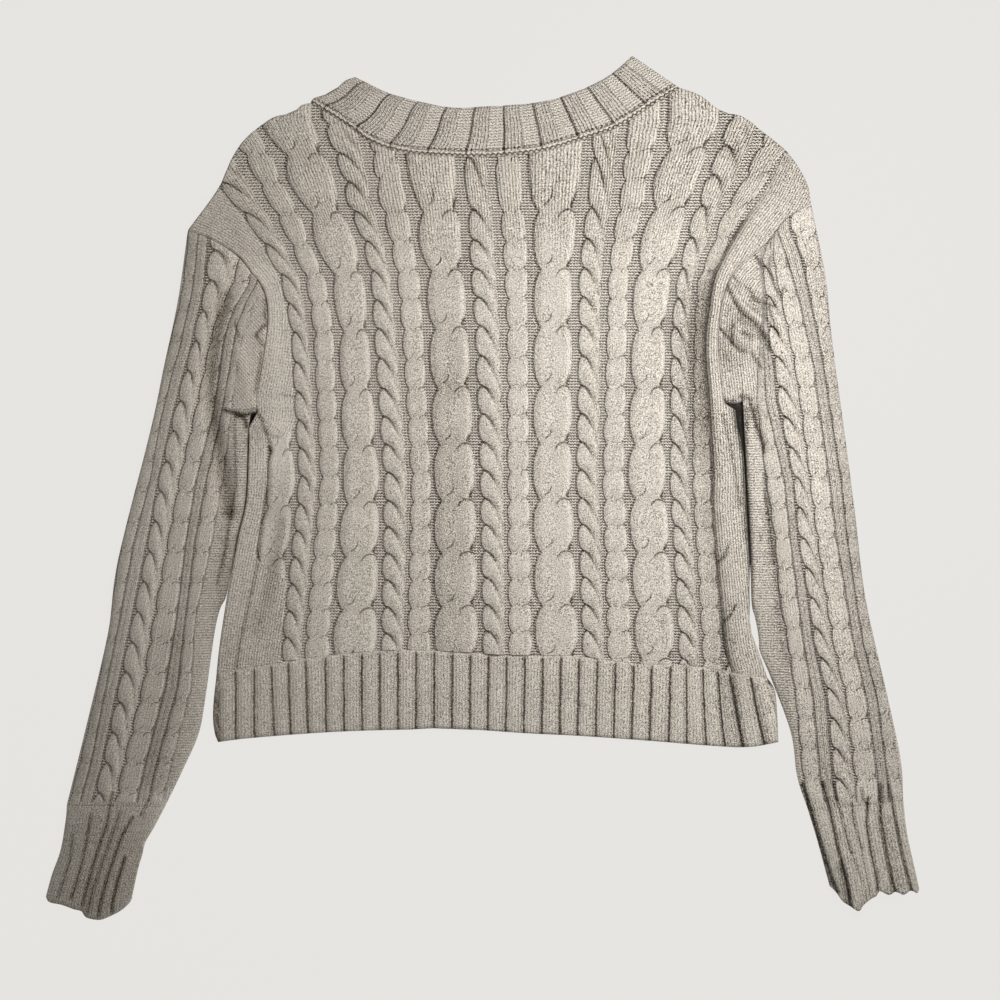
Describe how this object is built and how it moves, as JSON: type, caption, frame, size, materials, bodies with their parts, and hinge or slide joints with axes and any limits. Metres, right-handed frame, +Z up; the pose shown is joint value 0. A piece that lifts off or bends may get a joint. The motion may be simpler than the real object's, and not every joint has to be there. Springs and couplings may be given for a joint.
{
  "type": "cable knit cardigan",
  "caption": "Cropped cable knit cardigan laid flat and face down, with ribbed neckband, cuffs and hem, and long sleeves beside the body.",
  "frame": {"origin": "centre of the garment's outline, on the surface it lies on", "axes": "+Z up through the cloth and out of the back, +Y from the hem towards the neck, +X towards the wearer's right sleeve"},
  "size_m": [0.7, 0.6921, 0.0101],
  "materials": {
    "cable_knit": "heathered oatmeal wool in cable stitch, matte with a soft nap",
    "rib_knit": "heathered oatmeal wool in rib stitch, matte with a soft nap"
  },
  "bodies": {
    "root": {"back": "cable_knit", "hem_back": "rib_knit", "neckband": "rib_knit", "front_left": "cable_knit", "front_right": "cable_knit", "hem_front_left": "rib_knit", "hem_front_right": "rib_knit", "band_left": "rib_knit", "band_right": "rib_knit", "sleeve_left": "cable_knit", "sleeve_right": "cable_knit", "cuff_left": "rib_knit", "cuff_right": "rib_knit"}
  },
  "joints": []
}
